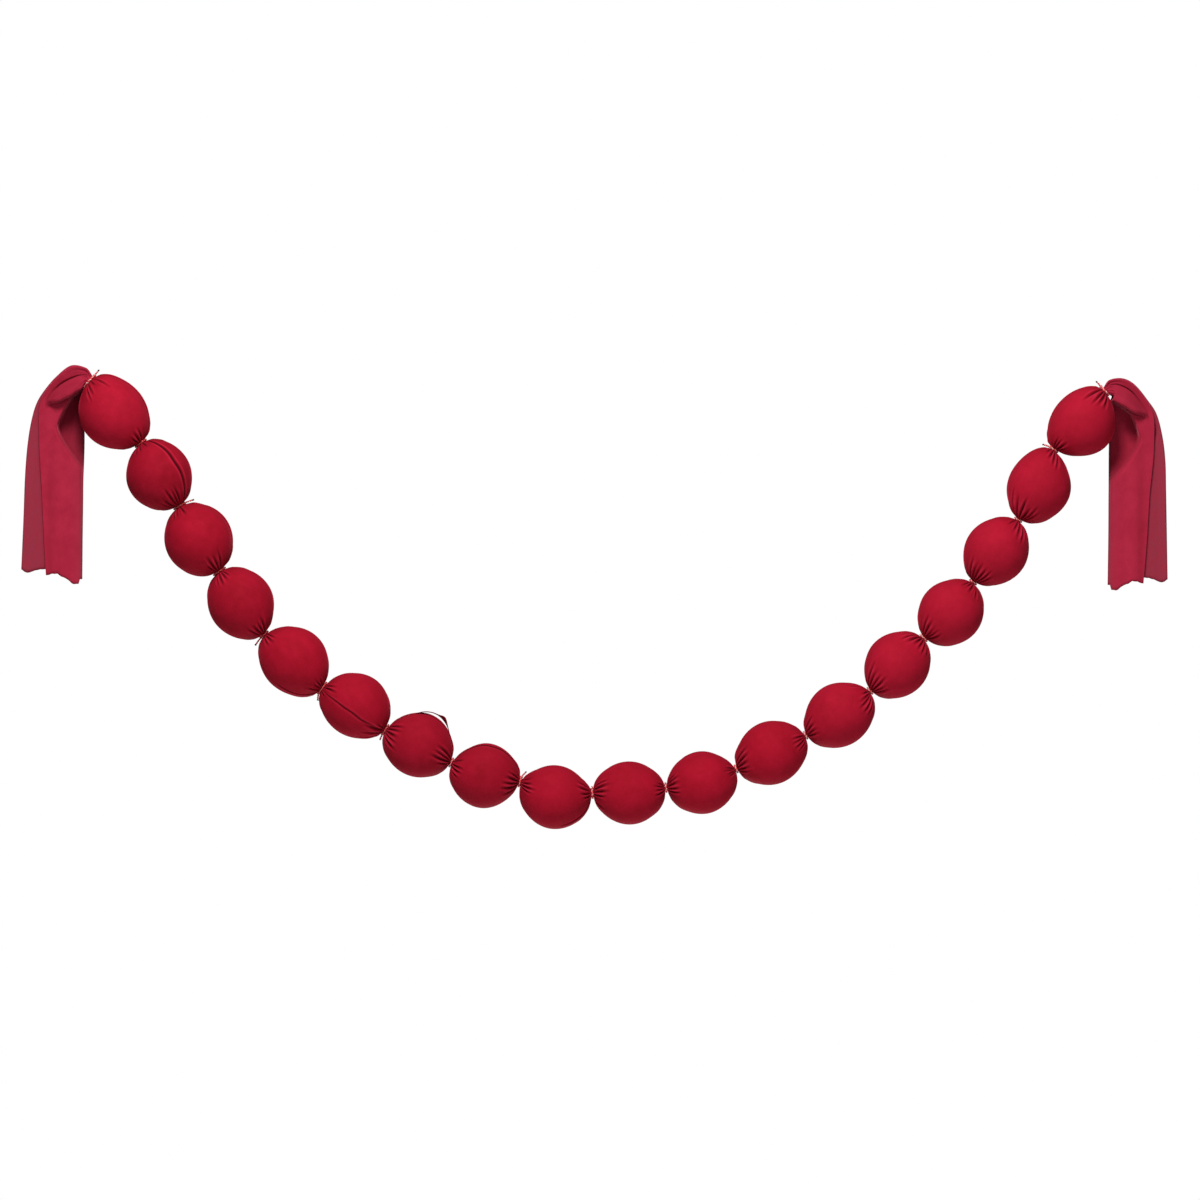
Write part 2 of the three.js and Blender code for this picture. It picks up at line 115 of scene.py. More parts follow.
BALLS = [
    Ball(46.2, 4, 84, 1.0), Ball(45.7, 2.5, 44, 1.9), Ball(46.5, 2.5, 92, 1.4), Ball(45.8, 1, 118, 1.4),
    Ball(46, -2, -63, -1.3, 0.6), Ball(44.8, -6, -14, 0.7), Ball(44.5, -1, 84, 1.2),
    Ball(45, 6, 74, 1.2), Ball(44.6, 14, -64, -2.1, 0.74), Ball(44.2, 4, 120, 1.4),
    Ball(43.9, 6, 125, 1.4), Ball(44.2, 1, 112, 1.4), Ball(44.2, 3, 118, 1.4), Ball(44.4, 1, 120, 1.4),
    Ball(44.4, 5, 118, 1.4), Ball(44.2, 1, 112, 1.4), Ball(44, 5.5, 104, 1.2), Ball(44.2, 8, 98, 1.2),
]
CORD_RADIUS = 1.4
GAP = 0.3
END_LEAN = math.radians(43)
print(len(BALLS), "balls,", len(TIES), "ties")

# %% [markdown]
# The strip runs through each tie in the direction from one ball's middle to the next, and leans
# outwards at the two end ties. These directions turn the gathered necks and the rings of cord, so
# they are worked out once.

# %% Ways through the ties
FRONT = np.array([0.0, -1.0, 0.0])
tie_points = [np.array([t.x, 0.0, t.z]) for t in TIES]


def unit(v):
    """The vector, or each vector of an array, made one long"""
    return v / np.linalg.norm(v, axis=-1, keepdims=True)


def upper_of(way):
    """The direction across the strip's way that points to the upper side of the swag"""
    return np.stack([-way[..., 2], 0 * way[..., 2], way[..., 0]], axis=-1)


def spoke_at(turn, upper):
    """The direction outwards from the strip's middle, turned from the front towards its upper side"""
    return FRONT * np.cos(turn) + upper * np.sin(turn)


sags = []
for n, ball in enumerate(BALLS):
    along = unit(tie_points[n + 1] - tie_points[n])
    sags.append(np.array([along[2], 0.0, -along[0]]) * ball.sag)
middles = [(tie_points[n] + tie_points[n + 1]) / 2 + sags[n] for n in range(len(BALLS))]
tie_ways = [unit(middles[n] - middles[n - 1]) for n in range(1, len(BALLS))]
tie_ways.insert(0, np.array([math.cos(END_LEAN), 0.0, -math.sin(END_LEAN)]))
tie_ways.append(np.array([math.cos(END_LEAN), 0.0, math.sin(END_LEAN)]))
print("first ball's middle", np.round(middles[0], 1), "mm")

# %% [markdown]
# ## Small mesh helpers
# Soft goods are made by mesh code here, because their forms come from tables. A grid of points
# becomes faces, and closed shapes get a cap at each end. The signed volume tells whether the faces
# point outwards.

# %% Grid and tube helpers
def smooth(low, high, x):
    """0 below low, 1 above high, and a soft rise between"""
    t = np.clip((x - low) / (high - low), 0, 1)
    return t * t * (3 - 2 * t)


def bell(x, middle, width):
    """1 at the middle, falling softly to 0 some widths away"""
    return np.exp(-(((x - middle) / width) ** 2))


def grid_faces(rows, columns, wrap):
    """Four-sided faces between the rows of a grid, joined round at the last column if wrap is set"""
    faces = []
    for r in range(rows - 1):
        for c in range(columns if wrap else columns - 1):
            d = (c + 1) % columns
            row, next_row = r * columns, (r + 1) * columns
            faces.append((row + c, row + d, next_row + d, next_row + c))
    return faces


def new_mesh(name, points, faces):
    """A mesh object in metres, with smooth shading, from points in millimetres"""
    mesh = bpy.data.meshes.new(name)
    mesh.from_pydata((np.asarray(points) * MM).tolist(), [], faces)
    made = bpy.data.objects.new(name, mesh)
    scene.collection.objects.link(made)
    mesh.validate()
    mesh.polygons.foreach_set("use_smooth", [True] * len(mesh.polygons))
    return made


def turned_out(points, faces):
    """The faces, turned round if the closed shape's signed volume is negative"""
    fans = [(face[0], face[i], face[i + 1]) for face in faces for i in range(1, len(face) - 1)]
    a, b, c = (points[corner] for corner in np.array(fans).T)
    volume = float(np.einsum("ij,ij->", a, np.cross(b, c)))
    return faces if volume > 0 else [tuple(reversed(face)) for face in faces]


def closed_loft(rings):
    """Points and faces of a closed body through equal rings, with a fan at each end"""
    rows, columns = rings.shape[:2]
    points = np.concatenate([rings.reshape(-1, 3), [rings[0].mean(0)], [rings[-1].mean(0)]])
    faces = grid_faces(rows, columns, True)
    first, last = rows * columns, rows * columns + 1
    for c in range(columns):
        d = (c + 1) % columns
        faces.append((first, d, c))
        faces.append((last, (rows - 1) * columns + c, (rows - 1) * columns + d))
    return points, turned_out(points, faces)


def tube_rings(path, radii, sides, reference):
    """Rings of a round tube along a path, with its section kept square to the path"""
    tangent = unit(np.gradient(path, axis=0))
    side = unit(np.cross(tangent, reference))
    over = np.cross(side, tangent)
    turn = (np.arange(sides) * 2 * math.pi / sides)[None, :, None]
    spoke = side[:, None] * np.cos(turn) + over[:, None] * np.sin(turn)
    return path[:, None] + spoke * np.asarray(radii)[:, None, None]


def kept_float(piece, name, values):
    """A number kept on each point, for its material to read"""
    attribute = piece.data.attributes.new(name, "FLOAT", "POINT")
    attribute.data.foreach_set("value", np.asarray(values, dtype=float))

# %% [markdown]
# ## Shader helpers
# A material is easier to read when its maths is written as maths. Value wraps a socket, and adding
# or multiplying two of them adds the Math node. Finish starts a material, and its node method adds
# any other node.

# %% Value and Finish
class Value:
    """A socket that can be added to, taken away from and multiplied"""

    def __init__(self, finish, socket):
        self.finish, self.socket = finish, socket

    def maths(self, operation, *terms):
        made = self.finish.node("ShaderNodeMath", {"operation": operation}, dict(enumerate(terms)))
        return Value(self.finish, made.outputs[0])

    def __add__(self, other):
        return self.maths("ADD", self, other)

    def __sub__(self, other):
        return self.maths("SUBTRACT", self, other)

    def __rsub__(self, other):
        return self.maths("SUBTRACT", other, self)

    def __mul__(self, other):
        return self.maths("MULTIPLY", self, other)

    __radd__ = __add__
    __rmul__ = __mul__

    def clamped(self):
        return self.maths("MAXIMUM", self.maths("MINIMUM", self, 1.0), 0.0)


class Finish:
    """A material under way, with its Principled shader"""

    def __init__(self, name):
        self.material = bpy.data.materials.new(name)
        self.material.use_nodes = True
        self.tree = self.material.node_tree
        self.shader = self.tree.nodes["Principled BSDF"]

    def node(self, kind, settings=None, sockets=None):
        made = self.tree.nodes.new(kind)
        for key, value in (settings or {}).items():
            setattr(made, key, value)
        for key, value in (sockets or {}).items():
            self.feed(made.inputs[key], value)
        return made

    def feed(self, socket, value):
        value = value.socket if isinstance(value, Value) else value
        if isinstance(value, bpy.types.NodeSocket):
            self.tree.links.new(value, socket)
        else:
            socket.default_value = value

    def surface(self, **sockets):
        for key, value in sockets.items():
            self.feed(self.shader.inputs[key.replace("_", " ")], value)

    def noise(self, place, scale, detail=2.0, roughness=0.5):
        sockets = {"Vector": place, "Scale": scale, "Detail": detail, "Roughness": roughness}
        return Value(self, self.node("ShaderNodeTexNoise", None, sockets).outputs["Fac"])

    def number(self, name):
        made = self.node("ShaderNodeAttribute", {"attribute_name": name})
        return Value(self, made.outputs["Fac"])

    def blend(self, share, first, second):
        made = self.node("ShaderNodeMix", {"data_type": "RGBA"}, {0: share, 6: first, 7: second})
        return made.outputs[2]

    def bump(self, height, distance, strength):
        sockets = {"Height": height, "Distance": distance, "Strength": strength}
        return self.node("ShaderNodeBump", None, sockets).outputs["Normal"]


def colour(red, green, blue):
    """A linear colour from the usual 0 to 255 numbers"""
    def linear(c):
        c /= 255
        return c / 12.92 if c <= 0.04045 else ((c + 0.055) / 1.055) ** 2.4
    return (linear(red), linear(green), linear(blue), 1.0)

# %% [markdown]
# ## Velvet
# Velvet is a short, dense pile. Seen straight on it is deep and matt, and where the surface turns
# away the pile's sides catch the light, which the Principled shader's sheen gives. Brushed patches
# make the colour drift a little over some centimetres, and the pile itself is a fine grain. A
# painted picture would show its pixels, so both come from noise. The pieces carry a number for
# painted light: at 1 it paints the shade deep in a crease into the colour, and below 0 it paints a
# highlight on the ridges beside it. It also paints shade beside the ties and in the tails' pocket,
# and makes some balls a little darker and others a little lighter. On the tails a number called
# dull marks the greyer outer panel.

# %% Velvet finishes
DRIFT_SCALE, PATCH_SCALE, PILE_SCALE = 24, 95, 1500
# How strongly the painted shade and the painted highlight move the colour
PAINTED_SHADE_SHARE, PAINTED_HIGHLIGHT_SHARE = 0.9, 0.8
PILE_GLOSS, PILE_HEIGHT = 0.14, 0.0004


def velvet(name, deep, plain, brushed, ridge, faded, sheen, tint):
    """Velvet from the painted shade deep in a crease to the painted highlight on a ridge, and its sheen"""
    finish = Finish(name)
    place = finish.node("ShaderNodeTexCoord").outputs["Object"]
    drift = finish.noise(place, DRIFT_SCALE, 3.0, 0.55)
    patches = finish.noise(place, PATCH_SCALE, 2.0, 0.5)
    grain = finish.noise(place, PILE_SCALE, 2.0, 0.6)
    # Each noise swings about 0.5, and the slow drift counts most
    light = ((drift - 0.5) * 1.3 + (patches - 0.5) * 0.55 + (grain - 0.5) * 0.75 + 0.45).clamped()
    body = finish.blend(light, plain, brushed)
    body = finish.blend((finish.number("dull") * (0.5 + 0.8 * patches)).clamped(), body, faded)
    painted_light_and_tone = finish.number("painted_light_and_tone")
    # Painted highlight: below 0 the number turns the cloth towards the ridge colour
    body = finish.blend((painted_light_and_tone * -PAINTED_HIGHLIGHT_SHARE).clamped(), body, ridge)
    # Painted shade: above 0 it turns the cloth towards the deep colour of a crease
    finish.surface(Base_Color=finish.blend((painted_light_and_tone * PAINTED_SHADE_SHARE).clamped(), body, deep))
    finish.surface(Roughness=0.9 - 0.12 * patches, Specular_IOR_Level=PILE_GLOSS)
    finish.surface(Sheen_Weight=sheen, Sheen_Roughness=0.32, Sheen_Tint=tint)
    finish.surface(Normal=finish.bump(grain + 0.6 * patches, PILE_HEIGHT, 0.35))
    return finish.material


# In each velvet the first colour is the painted shade deep in a crease, the fourth the painted highlight
# on a ridge
ball_velvet = velvet(
    "crimson_velvet", colour(40, 0, 6), colour(146, 2, 27), colour(174, 9, 41), colour(212, 46, 78),
    colour(130, 20, 36), 0.34, colour(255, 60, 95)
)
tail_velvet = velvet(
    "hanging_velvet", colour(56, 2, 12), colour(152, 24, 49), colour(172, 35, 62), colour(196, 50, 80),
    colour(142, 42, 60), 0.42, colour(255, 120, 145)
)
print("velvet:", ball_velvet.name, tail_velvet.name)

# %% [markdown]
# ## Tie cord
# The cord is shiny and of two plies that twist round each other, one red and one paler. The paler
# ply is a painted highlight, which gives the cord its row of bright dashes where a shiny cord shows
# glints. Its plies carry a UV map with U along the ply, so a wave across U and V gives the fine
# slanted fibres. The cut ends are dull and darker, which a number called fray marks, and a number
# called pale tells the plies apart and how much painted highlight each carries.

# %% Cord finish
def shiny_cord():
    """Twisted shiny cord, with a paler ply that paints its highlight, and dull frayed ends"""
    finish = Finish("red_cord")
    ply = finish.node("ShaderNodeUVMap", {"uv_map": "ply"}).outputs["UV"]
    sockets = {"Vector": ply, "Scale": (5.0, 9.0, 1.0), "Rotation": (0, 0, 0.6)}
    slanted = finish.node("ShaderNodeMapping", None, sockets)
    sockets = {"Vector": slanted.outputs["Vector"], "Scale": 1.3, "Distortion": 1.2, "Detail": 2.0}
    fibres = Value(finish, finish.node("ShaderNodeTexWave", None, sockets).outputs["Fac"])
    red = finish.blend(fibres, colour(232, 30, 42), colour(252, 84, 84))
    # The paler ply's colours are a painted highlight, the glints of the shiny cord
    pale = finish.blend(fibres, colour(255, 150, 145), colour(255, 225, 218))
    bright = finish.blend(finish.number("pale"), red, pale)
    fray = finish.number("fray").clamped()
    finish.surface(Base_Color=finish.blend(fray, bright, colour(70, 8, 16)))
    finish.surface(Roughness=0.26 + 0.5 * fray, Metallic=0.2 - 0.2 * fray)
    finish.surface(Specular_IOR_Level=0.8, Sheen_Weight=0.1)
    finish.surface(Normal=finish.bump(fibres, 0.0002, 0.5))
    return finish.material


red_cord = shiny_cord()
print("cord:", red_cord.name)

# %% [markdown]
# ## A covered ball
# The strip is rolled round a light ball and tied off close to it on both sides. Over the ball the
# cloth is taut. At each tie a girth of nearly 300 mm is gathered to a neck of a few millimetres, so
# it falls into pleats that fan out from the cord and fade on the ball. A cloth simulation would
# gather it too, but where the pleats fall would be chance. So the main creases that the photograph
# shows are placed one by one, and a seeded choice adds the ones behind and some small ones. The
# strip's long edge laps over itself, and shows as one raised step.

# %% Creases beside the ties
# For each ball, at its first and its second tie: the height of a crease over the line of the ties,
# 12 mm from the tie, and how far it runs, both in millimetres
SEEN_CREASES = [
    ([(12.9, 26), (4, 11), (-4.6, 20), (-9.7, 24)], [(9.9, 17), (3, 15), (-4.6, 11)]),
    ([(6, 9), (-4.6, 10), (-13, 9)], [(7.4, 26), (2.4, 22), (-1.6, 30), (-10.7, 19), (-15.7, 15)]),
    ([(2.4, 15), (-8.7, 11), (-14.7, 13)], [(10.5, 25), (3.4, 21), (-2.6, 25), (-8, 15)]),
    ([(8, 13), (3.4, 17), (-3.6, 20), (-9.7, 16)], [(8.5, 22), (2.4, 17), (-3.6, 19), (-9.7, 21)]),
    ([(6.4, 13), (0.4, 17), (-5.6, 15)], [(8, 9), (2.4, 13), (-3.6, 12), (-11.7, 16)]),
    ([(10, 14), (5, 20), (-9, 9)], [(0.4, 13), (-5.6, 27), (-12.7, 26), (-18.7, 28)]),
    ([(11.5, 21), (5.4, 21), (-1.6, 19), (-6.6, 23), (-12.7, 25)],
     [(9.5, 27), (3.4, 27), (-1, 30), (-6.6, 17)]),
    ([(7.4, 14), (-2.6, 18), (-8.7, 18), (-14.7, 15)],
     [(7.4, 17), (1, 20), (-4.6, 23), (-10.7, 23), (-18, 17)]),
    ([(7.4, 13), (0.4, 16), (-5.6, 22), (-10.7, 17)], [(9.5, 20), (4.4, 21), (-2.6, 15), (-9, 10)]),
    ([(12.5, 22), (7.4, 25), (1.4, 23), (-4.6, 17), (-20, 15)],
     [(7.4, 12), (2.4, 16), (-2.6, 15), (-7.6, 15)]),
    ([(12.5, 16), (8.5, 19), (3, 18), (-3.6, 18), (-8.7, 17)],
     [(5.4, 13), (1.4, 15), (-2.6, 13), (-6.6, 12)]),
    ([(14.5, 25), (8.5, 23), (2.4, 19), (-3.6, 17), (-8.7, 15)],
     [(2.4, 19), (-2, 21), (-6.6, 21), (-11.7, 17)]),
    ([(12.5, 21), (6.4, 19), (0.4, 17), (-4.5, 15)],
     [(17.5, 19), (3, 10), (-3.6, 19), (-8, 25), (-12.7, 25), (-17.7, 21)]),
    ([(14.5, 31), (9.5, 25), (3.4, 25), (-1.6, 27), (-6, 19), (-10.7, 21)],
     [(15.5, 24), (9.5, 21), (3.4, 15), (-3.6, 17), (-10.7, 19), (-17.7, 15)]),
    ([(10.5, 27), (5.4, 25), (-0.6, 19), (-4.9, 19), (-9.7, 19)],
     [(8.5, 13), (2, 9), (-3.6, 15), (-13.7, 17)]),
    ([(13.5, 27), (8.5, 25), (3.4, 27), (-1.6, 23), (-6.6, 25), (-11.7, 21)],
     [(7.4, 13), (-2.6, 17), (-8.7, 23), (-14.7, 25)]),
    ([(15.5, 34), (9.5, 29), (3, 31), (-4.6, 19), (-9.7, 25), (-14, 21)],
     [(9.5, 9), (1.4, 15), (-4.6, 21), (-10.7, 23)]),
    ([(6.4, 16), (2, 15), (-4.6, 17), (-11, 10)], [(9.5, 31), (2, 28), (-4.6, 23), (-10.7, 21)]),
]

# %% Choose the creases
Crease = namedtuple("Crease", "angle drift length depth width")
CREASE_REACH = 1.12
HIDDEN_CREASES, SMALL_CREASES = 7, 14
# 12 mm from a tie the cloth's radius is this share of the neck's and of the ball's, and this much
# of the sag is reached
NECK_SHARE, BALL_SHARE, SAG_SHARE = 0.53, 0.47, 0.64


def creases_at(n, at_far_tie):
    """The creases beside one tie of ball n, at angles from the ball's front towards its upper side"""
    chance = random.Random(100 * n + 50 * at_far_tie + 7)
    ball, tie = BALLS[n], TIES[n + at_far_tie]
    radius = NECK_SHARE * tie.neck + BALL_SHARE * ball.radius
    creases = []
    for height, length in SEEN_CREASES[n][at_far_tie]:
        rise = max(-0.96, min(0.96, (height + SAG_SHARE * ball.sag) / radius))
        depth = chance.uniform(2.4, 3.4) + 0.03 * length
        width = chance.uniform(2.2, 3.1)
        drift = chance.uniform(-0.1, 0.1)
        creases.append(Crease(math.degrees(math.asin(rise)), drift, CREASE_REACH * length, depth, width))
    for i in range(HIDDEN_CREASES):
        angle = 102 + 26 * i + chance.uniform(-7, 7)
        length, depth = chance.uniform(13, 32), chance.uniform(2.4, 4.2)
        creases.append(Crease(angle, chance.uniform(-0.3, 0.3), length, depth, chance.uniform(2.2, 3.4)))
    for i in range(SMALL_CREASES):
        angle, length = chance.uniform(0, 360), chance.uniform(6, 12)
        creases.append(Crease(angle, chance.uniform(-0.6, 0.6), length, 1.4, 1.2))
    return creases

# %% Troughs and ridges
NECK_END = 1.5
RIDGE_RISE, RIDGE_PAINTED_HIGHLIGHT = 0.42, 0.32


def gathered(creases, from_tie, radius, angle):
    """How far the creases and the soft ridges beside them move the cloth, and the painted shade and
    highlight there
    """
    move = np.zeros_like(angle)
    painted_light_and_tone = np.zeros_like(angle)
    for crease in creases:
        turn = angle - crease.angle - crease.drift * from_tie
        turn = (turn + 180) % 360 - 180
        width = crease.width * (0.34 + 0.66 * np.clip(from_tie / 14, 0, 1))
        across = np.abs(np.radians(turn)) * radius / width
        fade = smooth(1, 0, (from_tie - NECK_END - 0.35 * crease.length) / (0.65 * crease.length))
        start = smooth(NECK_END, NECK_END + 3.0, from_tie)
        valley = np.clip(1 - across, 0, 1) ** 1.4
        ridge = bell(across, 1.4, 0.6)
        move += crease.depth * fade * start * (RIDGE_RISE * ridge - valley)
        # Painted shade deep in the trough, and painted highlight on the ridges beside it
        painted_light_and_tone += (valley - RIDGE_PAINTED_HIGHLIGHT * ridge) * fade * crease.depth / 3.0
    # Painted shade within 19 mm of the tie, where the balls shade each other
    return move, painted_light_and_tone + 0.3 * (1 - smooth(2, 19, from_tie))

# %% The lapped edge
LAP_RISE = 1.35


def lapped_edge(ball, free, swell, step):
    """How far the cloth past the edge lifts, the groove with its beads, and their painted shade and
    highlight
    """
    lift = LAP_RISE * ball.lift * free * smooth(0, 1.5, step) * (1 - smooth(4, 62, step))
    beads = bell(step, 355.2, 1.7) + 0.9 * bell(step, 3.2, 1.8)
    groove = -0.7 * free * bell(step, 359.0, 1.8) * swell
    groove += 0.55 * abs(ball.lift) * free * swell * beads
    # Painted shade along the groove, and painted highlight on the beads beside it
    painted_light_and_tone = 0.9 * free * (bell(step, 359.4, 1.3) + bell(step, 0, 0.8))
    return lift, groove, painted_light_and_tone - 0.35 * abs(ball.lift) * free * beads

# %% [markdown]
# One ball is lofted from neck to neck. Its rings stand closer together towards the ties, where the
# pleats are, and the steps round a ring start and end at the lapped edge, closest there. A cord
# bites a little into the neck. The cloth of some balls is a little darker all over and of others a
# little lighter, which TONES adds to the number that carries the painted light.

# %% Radius and rings of a covered ball
FULLNESS, BOW, BITE = 1.35, 0.8, 1.2
BALL_ROWS = 92
EVEN, CROWDED = 0.35, 0.65
STEPS = np.concatenate([[0, 0.5, 1.0, 1.5, 2.3], np.arange(4.2, 357.5, 2.2), [358.6, 359.4]])[None, :]
TONES = (-0.1, 0.22, 0.08, 0.14, 0.02, 0.04, 0.16, 0.16, 0.04, 0.04) + (0, 0, -0.06, -0.08) + (-0.1,) * 4


def swell_at(share):
    """0 at the two ties and 1 half-way, as round as a circle"""
    return 2 * np.sqrt(share * (1 - share))


def cloth_round(n, share):
    """The angle and radius of each point of the cloth round ball n, and its painted light and tone there
    """
    ball, swell, first_half = BALLS[n], swell_at(share), share < 0.5
    neck = np.where(first_half, TIES[n].neck, TIES[n + 1].neck) - BITE
    radius = neck + (ball.radius - neck) * swell ** FULLNESS
    length = np.linalg.norm(tie_points[n + 1] - tie_points[n]) - 2 * NECK_END
    from_tie = NECK_END + length * np.minimum(share, 1 - share)
    in_sight = smooth(ball.lap_from - 0.2, ball.lap_from + 0.1, share)
    free = smooth(NECK_END, NECK_END + 4, from_tie) * in_sight
    wander = 1.3 * np.sin(2 * math.pi * share * 1.2 + n) + 0.5 * np.sin(2 * math.pi * share * 3.1 + 2 * n)
    angle = ball.lap + STEPS + wander * swell
    move, painted_light_and_tone = np.zeros(angle.shape), np.zeros(angle.shape)
    for far_tie, side in ((0, first_half), (1, ~first_half)):
        creases = creases_at(n, far_tie)
        moved, crease_painted_light = gathered(creases, from_tie + 0 * angle, radius + 0 * angle, angle)
        move += np.where(side, moved, 0)
        painted_light_and_tone += np.where(side, crease_painted_light, 0)
    lift, groove, lap_painted_light = lapped_edge(ball, free, swell, STEPS)
    # The lapped edge's painted shade and highlight, and the darker cloth of some balls and lighter of
    # others from TONES
    painted_light_and_tone += lap_painted_light + TONES[n] * np.sin(math.pi * share) ** 0.5
    slack = 0.25 * np.sin(np.radians(3 * angle) + 5 * share + n) * np.sin(math.pi * share) ** 2
    return angle, radius + move + lift + groove + slack, painted_light_and_tone


def ball_rings(n):
    """Rings of covered ball n from neck to neck, and the painted light and tone of each point"""
    near, far = tie_points[n], tie_points[n + 1]
    k = np.arange(BALL_ROWS + 1) / BALL_ROWS
    share = (EVEN * k + CROWDED * (1 - np.cos(math.pi * k)) / 2)[:, None]
    angle, radius, painted_light_and_tone = cloth_round(n, share)
    start = near + tie_ways[n] * NECK_END
    end = far - tie_ways[n + 1] * NECK_END
    centre = start + (end - start) * share + sags[n] * swell_at(share) ** BOW
    tie_way = np.where(share < 0.5, tie_ways[n], tie_ways[n + 1])
    lean = np.abs(1 - 2 * share) ** 1.5
    way = unit(unit(far - near) * (1 - lean) + tie_way * lean)
    turn = np.radians(angle)[..., None]
    rings = centre[:, None] + spoke_at(turn, upper_of(way)[:, None]) * radius[..., None]
    # Each neck runs on, round and bare, until half a gap before the tie's middle
    for at, tie in ((0, n), (-1, n + 1)):
        flat = tie_points[tie] + tie_ways[tie] * (GAP / 2 if at == 0 else -GAP / 2)
        ring = flat + spoke_at(turn[at], upper_of(tie_ways[tie])) * (TIES[tie].neck - BITE)
        rings = np.concatenate([[ring], rings] if at == 0 else [rings, [ring]])
    painted_light_and_tone = np.concatenate([[painted_light_and_tone[0]], painted_light_and_tone, [painted_light_and_tone[-1]]])
    return rings, np.clip(painted_light_and_tone, -1, 1)

# %% [markdown]
# On the seventh ball a stretch of the lapped edge has come loose. It arches off the ball like a
# narrow ribbon, with daylight under it, and one corner stands up. It is lofted along the ball with
# a thin rounded section that tilts towards the corner, and joins the cloth at both ends.

# %% The loose edge
LOOSE_BALL = 6
LOOSE_FROM, LOOSE_TO, LOOSE_ANGLE = 0.26, 0.83, 90
LOOSE_WIDTH, LOOSE_GAP, LOOSE_SINK = 14, 5.6, 2.6
LOOSE_ROWS, LOOSE_SIDES = 49, 14
CORNER_PLACE, CORNER_WIDTH, CORNER_RISE = 0.7, 0.13, 2.2
LOOSE_TILT, CORNER_TILT = 4, 22
LOOSE_SHADE = 0.35
CLOTH = 1.2


def loose_rings():
    """Rings of the loose stretch, from where it leaves the ball to where it joins it again"""
    n = LOOSE_BALL
    k = np.linspace(0, 1, LOOSE_ROWS)
    share = LOOSE_FROM + (LOOSE_TO - LOOSE_FROM) * k
    swell = swell_at(share)
    near, far = tie_points[n], tie_points[n + 1]
    upper = upper_of(unit(far - near))
    radius = TIES[n].neck + (BALLS[n].radius - TIES[n].neck) * swell ** FULLNESS
    corner = bell(k, CORNER_PLACE, CORNER_WIDTH)
    rise = -LOOSE_SINK + (LOOSE_GAP + LOOSE_SINK) * np.sin(math.pi * k) ** 0.7 + CORNER_RISE * corner
    spoke = spoke_at(math.radians(LOOSE_ANGLE), upper)
    middle = near + (far - near) * share[:, None] + sags[n] * (swell ** BOW)[:, None]
    middle = middle + spoke * (radius + rise)[:, None]
    tilt = np.radians(LOOSE_TILT + CORNER_TILT * corner)[:, None]
    across = spoke_at(tilt, upper)
    out = upper * np.cos(tilt) - FRONT * np.sin(tilt)
    half = LOOSE_WIDTH / 2 * (0.72 + 0.28 * np.sin(math.pi * k))[:, None, None]
    turn = np.arange(LOOSE_SIDES) * 2 * math.pi / LOOSE_SIDES
    wide = np.sign(np.cos(turn)) * np.abs(np.cos(turn)) ** 0.6
    section = across[:, None] * wide[None, :, None] * half
    return middle[:, None] + section + out[:, None] * np.sin(turn)[None, :, None] * CLOTH / 2

# %% Make the covered balls
def finished(piece, material, slot, *nodes):
    """Gives a piece its finish, hangs it on the root body and hides the plain nodes it stands in for"""
    piece.data.materials.append(material)
    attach(piece, "root")
    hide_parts(*nodes)
    return piece


balls = []
for n in range(len(BALLS)):
    rings, painted_light_and_tone = ball_rings(n)
    points, faces = closed_loft(rings)
    painted_light_and_tone = np.concatenate([painted_light_and_tone.ravel(), [0, 0]])
    if n == LOOSE_BALL:
        more, more_faces = closed_loft(loose_rings())
        faces = faces + [tuple(i + len(points) for i in face) for face in more_faces]
        points = np.concatenate([points, more])
        painted_light_and_tone = np.concatenate([painted_light_and_tone, np.full(len(more), LOOSE_SHADE)])
    piece = new_mesh(f"velvet_ball_{n + 1:02d}", points, faces)
    kept_float(piece, "painted_light_and_tone", painted_light_and_tone)
    finished(piece, ball_velvet, "velvet", f"ball_{n + 1:02d}")
    balls.append(piece)
print("balls:", len(balls), "with", len(balls[0].data.polygons), "faces each")

# %% [markdown]
# ## The ties
# A tie is one turn of cord round the neck, a knot, and a short free end where the photograph shows
# one. The ring is two plies that twist round each other as they go round the neck. The knot is a
# trefoil, which is how a simple overhand knot looks when it is drawn tight. The cord could be a
# curve with a bevel, but a tube made by mesh code carries its own UV map, its fray and its
# paleness, the painted highlight of its paler ply.

# %% One ply of cord
PLY_OFFSET = 0.7
PLY_RADIUS = 0.8
PLY_SIDES = 6
TWIST_PITCH = 6.0


def ring_ply(path, reference):
    """Points and faces of a ply that runs round into itself"""
    count = len(path)
    around = np.concatenate([path[-1:], path, path[:1]])
    rings = tube_rings(around, np.full(count + 2, PLY_RADIUS), PLY_SIDES, reference)[1:-1]
    points = rings.reshape(-1, 3)
    faces = grid_faces(count, PLY_SIDES, True)
    last = (count - 1) * PLY_SIDES
    for c in range(PLY_SIDES):
        d = (c + 1) % PLY_SIDES
        faces.append((last + c, last + d, d, c))
    return points, turned_out(points, faces)


